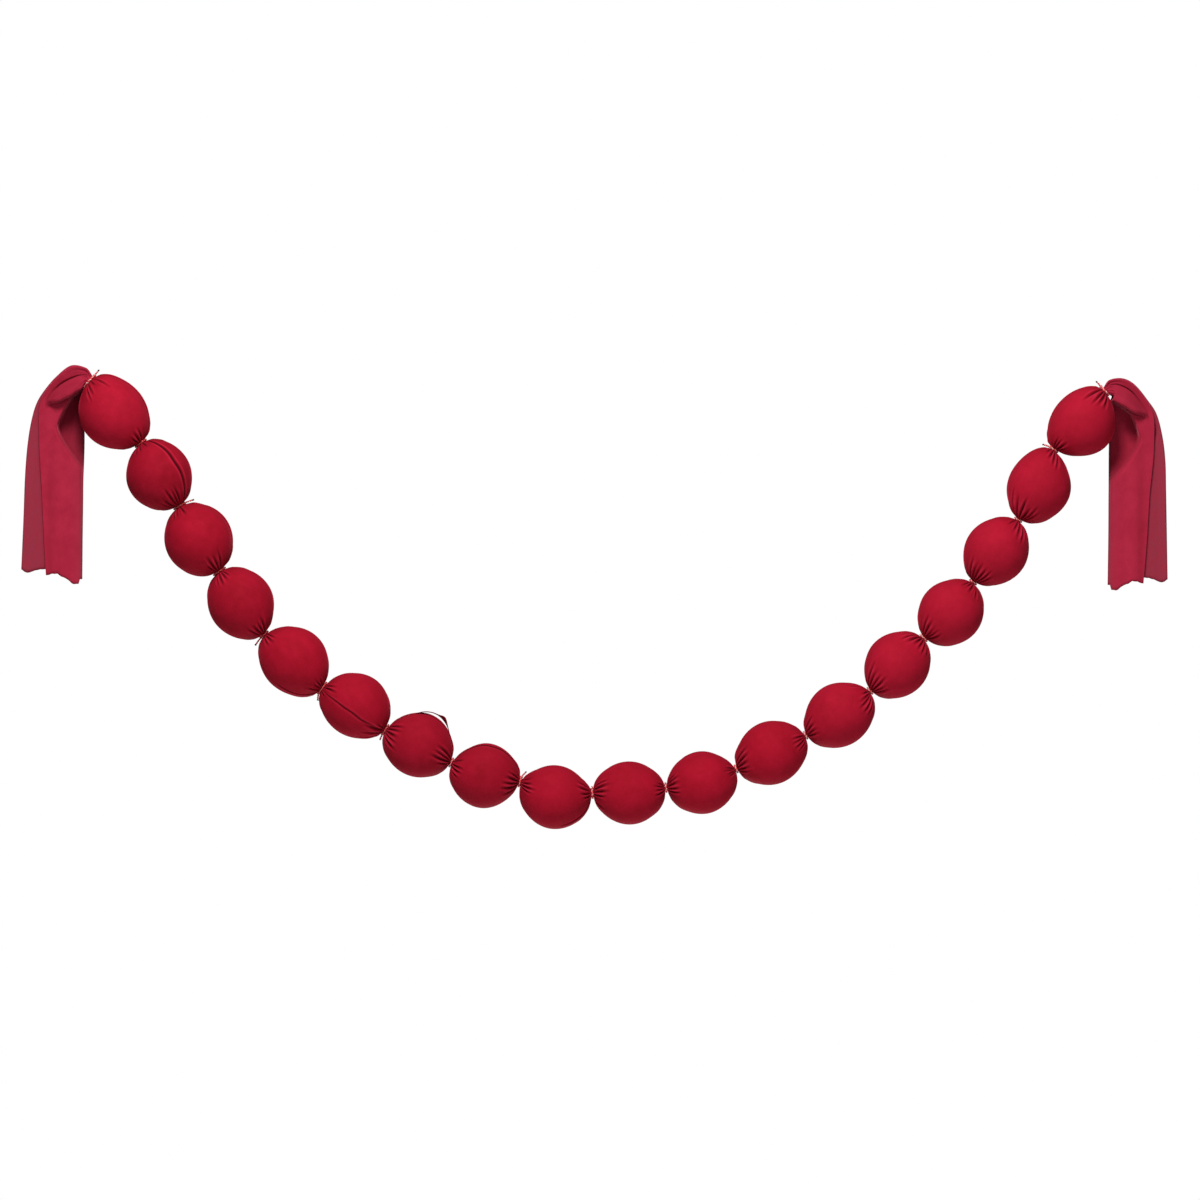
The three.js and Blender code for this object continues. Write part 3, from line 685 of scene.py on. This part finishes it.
def add_ply(parts, path, reference, pale, radii=None, frays=None):
    """Adds one ply to parts with its UV numbers, an open one if it has radii and frays, or else a ring"""
    if frays is None:
        points, faces = ring_ply(path, reference)
        fray = np.zeros(len(points))
    else:
        points, faces = closed_loft(tube_rings(path, radii, PLY_SIDES, reference))
        fray = np.concatenate([np.repeat(frays, PLY_SIDES), [frays[0], frays[-1]]])
    caps = frays is not None
    run = np.concatenate([[0], np.cumsum(np.linalg.norm(np.diff(path, axis=0), axis=1))])
    along = np.repeat(run, PLY_SIDES).tolist() + [run[0], run[-1]] * caps
    around = np.tile(np.arange(PLY_SIDES) / PLY_SIDES, len(path)).tolist() + [0.5, 0.5] * caps
    start = len(parts["points"])
    parts["points"].extend(points.tolist())
    parts["faces"].extend(tuple(i + start for i in face) for face in faces)
    parts["uv"].extend(zip(along, around))
    parts["fray"].extend(fray.tolist())
    parts["pale"].extend([pale] * len(points))

# %% Ring, knot and free end
RING_SEAT = 0.3
RING_STEPS = 10
# KNOT_PALE and END_PALE are how pale the knot and a free end's second ply are, a painted highlight
KNOT_SIZE, KNOT_DEPTH, KNOT_PALE = 0.62, 0.75, 0.2
KNOT_SIDE = math.radians(62)
END_DROOP = 0.8
END_PALE = 0.8


def cord_ring(parts, n, radius, pale):
    """Adds two plies that twist round each other and round the neck of tie n"""
    way = tie_ways[n]
    twists = max(6, round(2 * math.pi * radius / TWIST_PITCH))
    turn = np.arange(twists * RING_STEPS) * 2 * math.pi / (twists * RING_STEPS)
    spoke = spoke_at(turn[:, None], upper_of(way))
    for ply in (0, 1):
        roll = (twists * turn + math.pi * ply)[:, None]
        path = tie_points[n] + spoke * (radius + PLY_OFFSET * np.cos(roll))
        add_ply(parts, path + way * PLY_OFFSET * np.sin(roll), way, pale * ply)


def cord_knot(parts, at, spoke, way):
    """Adds a small trefoil that lies flat on the neck"""
    turn = (np.arange(48) * 2 * math.pi / 48)[:, None]
    flat = way * (np.sin(turn) + 2 * np.sin(2 * turn))
    flat = flat + np.cross(spoke, way) * (np.cos(turn) - 2 * np.cos(2 * turn))
    add_ply(parts, at + KNOT_SIZE * flat - KNOT_DEPTH * spoke * np.sin(3 * turn), spoke, KNOT_PALE)


def cord_end(parts, at, toward, length):
    """Adds a free end of two twisted plies that droops a little and frays at its tip"""
    k = np.linspace(0, 1, 26)
    side = unit(np.cross(toward, FRONT))
    over = np.cross(toward, side)
    spine = at + toward * (length * k)[:, None] + np.array([0, 0, -1.0]) * (END_DROOP * k**2)[:, None]
    radii = 0.72 + 0.1 * smooth(0.85, 0.97, k)
    for ply in (0, 1):
        roll = (2 * math.pi * length / TWIST_PITCH * k + math.pi * ply)[:, None]
        path = spine + PLY_OFFSET * 0.85 * (side * np.cos(roll) + over * np.sin(roll))
        add_ply(parts, path, side + 0.3 * over, END_PALE * ply, radii, smooth(0.74, 0.9, k))

# %% Make the ties
for n, tie in enumerate(TIES):
    parts = {"points": [], "faces": [], "uv": [], "fray": [], "pale": []}
    radius = tie.neck + RING_SEAT
    upper = upper_of(tie_ways[n])
    cord_ring(parts, n, radius, PALE[n])
    shows = tie.end_turn is not None
    turn = math.radians(tie.end_turn or 0)
    toward = unit(np.array([math.cos(turn), -0.25, math.sin(turn)]))
    # The knot sits on the side that its free end points to, or else hidden behind
    side = math.copysign(KNOT_SIDE, float(np.dot(toward, upper))) if shows else math.pi
    spoke = spoke_at(side, upper)
    knot = tie_points[n] + spoke * (radius + CORD_RADIUS)
    cord_knot(parts, knot, spoke, tie_ways[n])
    if shows:
        cord_end(parts, knot, toward, tie.end_length)
    piece = new_mesh(f"tie_cord_{n:02d}", parts["points"], parts["faces"])
    kept_float(piece, "fray", parts["fray"])
    kept_float(piece, "pale", parts["pale"])
    uv = piece.data.uv_layers.new(name="ply")
    corners = [parts["uv"][loop.vertex_index] for loop in piece.data.loops]
    uv.data.foreach_set("uv", [value for corner in corners for value in corner])
    finished(piece, red_cord, "tie_cord", f"tie_{n:02d}")

# %% [markdown]
# ## The tails
# Past each end tie the strip goes up over what holds it and hangs down, folded back and forth in
# four layers. Its sections stand in a table, from tie to hem: where the inner and outer ends lie,
# how far the inner part sets back, how far the front lobe stands forward, and where the front
# layer's free edge is. One thin surface is lofted through them and then given its thickness. Its
# columns follow the edges of the lobe and of the fold, so that these stay crisp. A cloth simulation
# of four layers that touch is slow and unsteady, and the folds are known from the photograph, so
# they are placed.

# %% Tables of the tails
Row = namedtuple("Row", "in_out in_up out_out out_up back free")
LEFT_ROWS = [
    Row(6.3, -6.8, -6.3, 6.8, 0, 0.96), Row(9, -4.3, -3.6, 9.3, 1, 0.96),
    Row(8.5, -14.5, 5, 19, 15, 0.97), Row(9, -32, 25, 22, 25, 0.97), Row(9, -49, 44, 8, 30, 0.97),
    Row(9.5, -67, 60, -10, 31, 0.97), Row(9.5, -85, 73, -31, 30, 0.93),
    Row(9.5, -109, 81, -60, 22, 0.84), Row(9.5, -137, 86, -95, 8, 0.77), Row(9.5, -172, 89, -137, 3, 0.71),
    Row(10, -214, 91, -193, 2, 0.66), Row(10.5, -278, 94, -264, 1, 0.59),
]
RIGHT_ROWS = [
    Row(3.3, -3.5, -3.3, 3.5, 0, 0.96), Row(5.6, -4, -0.8, 5.8, 1, 0.96),
    Row(14.5, -11.5, 7, 15, 10, 0.97), Row(6.5, -22, 25, 17, 23, 0.97), Row(10, -40, 42, 8, 28, 0.97),
    Row(9, -56, 60, -14, 31, 0.97), Row(9, -73, 72, -33, 31, 0.93),
    Row(8.5, -96, 80, -64, 27, 0.84), Row(7.5, -124, 84, -98, 15, 0.77), Row(6.5, -159, 85, -140, 5, 0.71),
    Row(6, -207, 86, -200, 2, 0.66), Row(5, -273, 87, -265, 1, 0.59),
]
# Lines on the front layer, as a share from the inner to the outer end at places counted in rows:
# the crease above the lobe, the lobe's lower edge, and the edge of the fold beside the dark pocket;
# and the lobe's rise in mm
Lines = namedtuple("Lines", "crest lobe_edge fold_edge rise")
LEFT_LINES = Lines(
    ((0, 0.85), (1, 0.78), (2, 0.7), (3, 0.7), (4, 0.82), (5, 0.87), (5.5, 0.86), (6.5, 0.8), (11, 0.5)),
    ((0, 0.14), (1, 0.14), (2, 0.2), (3, 0.345), (4, 0.485), (5, 0.665), (5.5, 0.81), (6.5, 0.74),
     (11, 0.3)),
    ((0, 0.1), (1, 0.1), (2, 0.17), (3, 0.32), (4, 0.46), (4.3, 0.48), (5, 0.505), (5.8, 0.52),
     (6.15, 0.535), (6.35, 0.53), (6.55, 0.495), (6.75, 0.425), (7, 0.31), (7.2, 0.18), (7.45, 0.03),
     (11, 0.02)),
    ((0, 0), (1, 1), (2, 7), (3, 14), (4, 16), (5, 12), (5.5, 4), (5.7, 0), (11, 0)),
)
RIGHT_LINES = Lines(
    ((0, 0.82), (1, 0.78), (2, 0.74), (3, 0.76), (4, 0.82), (5, 0.85), (5.7, 0.86), (6.5, 0.8), (11, 0.5)),
    ((0, 0.14), (1, 0.14), (2, 0.12), (3, 0.22), (4, 0.41), (5, 0.6), (5.7, 0.79), (6.5, 0.74), (11, 0.3)),
    ((0, 0.1), (1, 0.1), (2, 0.1), (3, 0.2), (4, 0.39), (5, 0.565), (6, 0.57), (6.5, 0.592),
     (6.75, 0.585), (7, 0.52), (7.2, 0.43), (7.45, 0.34), (7.7, 0.25), (8, 0.08), (8.2, 0.03), (11, 0.02)),
    ((0, 0), (1, 1), (2, 6), (3, 13), (4, 16), (5, 13), (5.6, 5), (5.85, 0), (11, 0)),
)
# How far the hem dips at shares across the layers, in front and behind
HEM_FRONT = ((0, 3), (0.05, 5), (0.15, 7), (0.23, 2), (0.4, -4), (0.6, 1))
HEM_BEHIND = ((0, -2), (0.35, -4), (0.62, -8), (0.92, 2), (1, -1))


def through(rows, place):
    """Smooth numbers between the rows of a table, as a Catmull-Rom curve through them"""
    table = np.array(rows, dtype=float)
    table = np.concatenate([[2 * table[0] - table[1]], table, [2 * table[-1] - table[-2]]])
    at = np.clip(place, 0, 1) * (len(rows) - 1)
    i = np.minimum(at.astype(int), len(rows) - 2)
    t = (at - i)[:, None]
    a, b, c, d = table[i], table[i + 1], table[i + 2], table[i + 3]
    bend = (2 * a - 5 * b + 4 * c - d) * t**2 + (3 * b - a - 3 * c + d) * t**3
    return Row(*(0.5 * (2 * b + (c - a) * t + bend)).T[..., None])


def softened(values):
    """The values with their corners rounded over a few rows"""
    return np.convolve(np.pad(values, 3, "edge"), np.ones(7) / 7, "valid")

# %% Columns that follow the lines
TAIL_STEPS = 176
FOLD_ROUND, LAYER_END = 0.025, 0.045
FRONT_SPANS = (14, 6, 12, 6, 7, 7, 12)
FOLD_COLUMNS, LAYER_COLUMNS = 9, 22
# Columns stand on both sides of the crest, of the lobe's edge and of the fold's edge, this far off
# in shares, and the two edges are steps just as wide
CREST_SIDE = 0.035
LOBE_INSIDE, LOBE_OUTSIDE = 0.008, 0.016
EDGE_INSIDE, EDGE_OUTSIDE = 0.016, 0.009


def front_columns(free, crest, lobe_edge, fold_edge):
    """Shares across the front layer from its free edge inwards, close together at its three lines"""
    stops = [free, crest + CREST_SIDE, crest - CREST_SIDE]
    stops += [lobe_edge + LOBE_OUTSIDE, lobe_edge - LOBE_INSIDE]
    stops += [fold_edge + EDGE_OUTSIDE, fold_edge - EDGE_INSIDE, 0 * free + LAYER_END]
    for i in range(len(stops) - 2, 0, -1):
        stops[i] = np.maximum(stops[i], stops[i + 1] + 0.006)
    stops = [np.minimum(stop, free - 0.008 * i) for i, stop in enumerate(stops)]
    parts = []
    for i, count in enumerate(FRONT_SPANS):
        parts.append(stops[i] + (stops[i + 1] - stops[i]) * np.arange(count)[None, :] / count)
    return np.concatenate(parts + [stops[-1]], axis=1)

# %% One folded section
LAYER_PITCH = 4.2
# The rows between which the edge beside the pocket opens into a soft hollow
OPENING = (6.2, 7.0)


def front_depth(share, row, pitch, lines, lobe, place):
    """Depth of the front layer, with the lobe forward and the part beyond the fold set back"""
    crest, lobe_edge, fold_edge = lines
    rise = smooth(lobe_edge - LOBE_INSIDE, lobe_edge + LOBE_OUTSIDE, share)
    fall = 1 - smooth(lobe_edge + 0.05, crest, share) ** 1.3
    groove = 0.3 * (1 - 0.75 * smooth(3.6, 5.0, place)) * bell(share, crest, 0.018)
    forward = lobe * (rise * fall + 0.3 * smooth(crest - 0.01, 1, share) - groove)
    opened = 0.1 * smooth(*OPENING, place)
    outside = fold_edge + EDGE_OUTSIDE + 0.4 * opened
    behind = row.back * (1 - smooth(fold_edge - EDGE_INSIDE - opened, outside, share))
    return -1.5 * pitch + behind - forward


def layer_line(row, pitch, lines, lobe, place):
    """Places across the folded cloth, and depths, from the free front edge to the hidden back edge"""
    fold_edge = lines[2]
    share = front_columns(row.free, *lines)
    shares, depths = [share], [front_depth(share, row, pitch, lines, lobe, place)]
    for layer, end in enumerate((0, 1, 0)):
        inward = 1 if end == 0 else -1
        swing = np.linspace(0, math.pi, FOLD_COLUMNS)[None, :]
        share = end + inward * FOLD_ROUND * (1 - np.sin(swing)) + 0 * row.free
        base = -1.5 * pitch + layer * pitch
        shares.append(share)
        depths.append(base + pitch * (1 - np.cos(swing)) / 2 + row.back * (end == 0))
        stop = 0.66 if layer == 2 else 1 - LAYER_END
        share = np.linspace(LAYER_END, stop, LAYER_COLUMNS)[None, :] + 0 * row.free
        share = share if end == 0 else 1 - share
        shares.append(share)
        depths.append(base + pitch + row.back * (1 - smooth(fold_edge, fold_edge + 0.4, share)))
    return np.concatenate(shares, axis=1), np.concatenate(depths, axis=1)

# %% Neck, soft folds and hem of a tail
def pressed_round(share, depth, pitch, neck, down):
    """Beside the tie, the flat stack of layers pressed into a round neck"""
    x = np.clip(2 * share - 1, -1, 1)
    d = np.clip(depth / (1.5 * pitch), -1, 1)
    round_share = 0.5 + 0.5 * x * np.sqrt(1 - d**2 / 2) * (1 - 0.6 / neck)
    round_depth = (neck - 0.6) * d * np.sqrt(1 - x**2 / 2)
    pressed = 1 - smooth(0.02, 0.15, down)
    return share + (round_share - share) * pressed, depth + (round_depth - depth) * pressed


def soft_folds(share, down):
    """Gathers that fan out from the tie, and long soft folds that hang below them"""
    full = 2 * math.pi
    fan = (1 - smooth(0.08, 0.36, down)) * smooth(0.0, 0.05, down)
    gathers = np.sin(full * (4.6 * share + 0.6 * np.sin(3 * share))) + 0.5 * np.sin(full * 8.3 * share)
    hang = smooth(0.35, 0.8, down)
    folds = np.sin(full * (1.55 * share + 0.12 * down)) + 0.45 * np.sin(full * (3.4 * share + 0.2))
    return 0.9 * fan * gathers + 1.5 * hang * folds


def hem_dip(share, front_layer, down):
    """How far the cut edge dips, which is a little uneven"""
    clear = np.clip(share, 0, 1)
    dip = np.where(front_layer, np.interp(clear, *zip(*HEM_FRONT)), np.interp(clear, *zip(*HEM_BEHIND)))
    return smooth(0.86, 1, down) * (dip + 0.5 * np.sin(23 * share) + 0.3 * np.sin(61 * share))


def painted_tail_shade(share, front_layer, row, lines, lobe, place, shade):
    """Painted shade on the tail: along the crease, under and on the lobe, and in the pocket beside the
    fold
    """
    crest, lobe_edge, fold_edge = lines
    lobed = smooth(1.5, 6, lobe)
    crease_line = bell(share, crest, 0.02) * lobed * (1 - 0.6 * smooth(3.8, 5.4, place))
    under_lobe = bell(share, lobe_edge - 0.02, 0.026) * lobed
    on_lobe = smooth(lobe_edge, lobe_edge + 0.03, share) * (1 - smooth(crest - 0.03, crest, share)) * lobed
    edge_soft = 0.014 + 0.13 * smooth(*OPENING, place)
    pocket = (1 - smooth(fold_edge - edge_soft, fold_edge + 0.005, share)) * smooth(0.02, 0.1, fold_edge)
    # Painted shade: the crease line, a painted shadow under the lobe's edge, the pocket, and a little over
    # the lobe
    front_painted_shade = 0.65 * crease_line + 0.5 * under_lobe + shade * pocket * smooth(3, 14, row.back)
    return np.where(front_layer, front_painted_shade + 0.16 * on_lobe, 0.5 * pocket)

# %% Grid of a whole tail
def tail_grid(tie_number, rows, tail_lines, outward, shade):
    """Points of the folded sheet from tie to hem, and the painted shade and the dullness of each one"""
    down = np.linspace(0, 1, TAIL_STEPS + 1) ** 1.15
    row = through(rows, down)
    place = down * (len(rows) - 1)
    *lines, lobe = [softened(np.interp(place, *zip(*line)))[:, None] for line in tail_lines]
    down, place = down[:, None], place[:, None]
    neck = TIES[tie_number].neck - BITE
    pitch = 0.33 * neck + (LAYER_PITCH - 0.33 * neck) * np.clip(3 * down, 0, 1)
    share, depth = layer_line(row, pitch, lines, lobe, place)
    share_now, depth = pressed_round(share, depth, pitch, neck, down)
    origin = tie_points[tie_number] + tie_ways[tie_number] * outward * GAP
    inner = np.stack([origin[0] + outward * row.in_out, 0 * row.in_up, origin[2] + row.in_up], axis=-1)
    outer = np.stack([origin[0] + outward * row.out_out, 0 * row.out_up, origin[2] + row.out_up], axis=-1)
    points = inner + (outer - inner) * share_now[..., None]
    front_layer = np.arange(share.shape[1]) <= sum(FRONT_SPANS)
    points[..., 1] = depth + soft_folds(share, down)
    points[..., 2] -= hem_dip(share, front_layer, down)
    painted_light_and_tone = painted_tail_shade(share, front_layer, row, lines, lobe, place, shade)
    # Painted shade at the top of the tail, next to the tie
    painted_light_and_tone = painted_light_and_tone + 0.4 * (1 - smooth(0, 0.03, down))
    inner_side = 0.25 * smooth(0.3, 0.1, share / row.free)
    dull = np.where(front_layer, inner_side, 1.0) * smooth(0.15, 0.5, down)
    return points, np.clip(painted_light_and_tone, 0, 1), dull

# %% Make the tails
LEFT_SHADE, RIGHT_SHADE = 0.52, 0.26


def made_tail(name, tie_number, rows, tail_lines, outward, shade, node):
    """One tail as a thin sheet, thickened, that rests on its tie's cord"""
    grid, painted_light_and_tone, dull = tail_grid(tie_number, rows, tail_lines, outward, shade)
    piece = new_mesh(name, grid.reshape(-1, 3), grid_faces(grid.shape[0], grid.shape[1], False))
    wide = round(float(np.median(np.linalg.norm(np.diff(grid, axis=1), axis=-1).sum(1))))
    long = round(float(np.linalg.norm(np.diff(grid, axis=0), axis=-1).sum(0).mean()))
    print(name, "is", wide, "mm across the folds and", long, "mm long")
    kept_float(piece, "painted_light_and_tone", painted_light_and_tone.ravel())
    kept_float(piece, "dull", dull.ravel())
    bpy.context.view_layer.objects.active = piece
    piece.select_set(True)
    thick = piece.modifiers.new("thickness", "SOLIDIFY")
    thick.thickness, thick.offset = CLOTH * MM, 0
    bpy.ops.object.modifier_apply(modifier=thick.name)
    piece.select_set(False)
    finished(piece, tail_velvet, "tail_velvet", node)


made_tail("velvet_tail_left", 0, LEFT_ROWS, LEFT_LINES, -1, LEFT_SHADE, "tail_left")
made_tail("velvet_tail_right", len(TIES) - 1, RIGHT_ROWS, RIGHT_LINES, 1, RIGHT_SHADE, "tail_right")

# %% [markdown]
# ## Stage and light
# The garland hangs in front of nothing but white. A pale floor lies below the picture. A large soft
# light stands up and to the front, a second fills the shadows, and a third, low and behind, gives
# the lower rims the glow that a white sweep throws back. The sky is white to the camera but gives
# the garland only a part of that light, so that the balls keep their roundness.

# %% Floor
FLOOR_DROP, FLOOR_FORWARD = 0.68, 0.6
FLOOR_SIZE = (3.4, 2.4, 1)
floor_place = (PHOTO_CENTRE.x, -FLOOR_FORWARD, cad_low.z - FLOOR_DROP)
bpy.ops.mesh.primitive_plane_add(size=1, location=floor_place)
floor = bpy.context.active_object
floor.name = "floor"
floor.scale = FLOOR_SIZE
bpy.ops.object.transform_apply(location=True, rotation=True, scale=True)
floor.select_set(False)
pale = Finish("pale_floor")
mottle = pale.noise(pale.node("ShaderNodeTexCoord").outputs["Object"], 6, 3.0)
pale.surface(Base_Color=pale.blend(mottle, (0.83, 0.83, 0.82, 1), (0.88, 0.88, 0.87, 1)), Roughness=0.8)
floor.data.materials.append(pale.material)
print("floor at", round(floor_place[2], 3), "m")

# %% Lights and sky
SKY_ON_THE_GARLAND, SKY_SEEN = 0.17, 1.0


def soft_light(name, place, size, power):
    """A square soft light that faces the middle of the garland"""
    light = bpy.data.objects.new(name, bpy.data.lights.new(name, "AREA"))
    light.data.size, light.data.energy = size, power
    light.location = place
    light.rotation_euler = (PHOTO_CENTRE - Vector(place)).to_track_quat("-Z", "Y").to_euler()
    scene.collection.objects.link(light)


soft_light("key", (0.35, -2.6, 2.7), 1.1, 174)
soft_light("fill", (1.7, -3.3, -1.5), 2.0, 22)
soft_light("low back", (0.74, 1.6, -1.75), 0.9, 8)
world = bpy.data.worlds.new("sky")
scene.world = world
world.use_nodes = True
links, nodes = world.node_tree.links, world.node_tree.nodes
sky = nodes["Background"]
sky.inputs["Color"].default_value = (1, 1, 1, 1)
strength = nodes.new("ShaderNodeMix")
strength.inputs[2].default_value, strength.inputs[3].default_value = SKY_ON_THE_GARLAND, SKY_SEEN
links.new(nodes.new("ShaderNodeLightPath").outputs["Is Camera Ray"], strength.inputs[0])
links.new(strength.outputs[0], sky.inputs["Strength"])
scene.view_settings.view_transform = "Standard"
print("lights:", len([piece for piece in scene.objects if piece.type == "LIGHT"]))
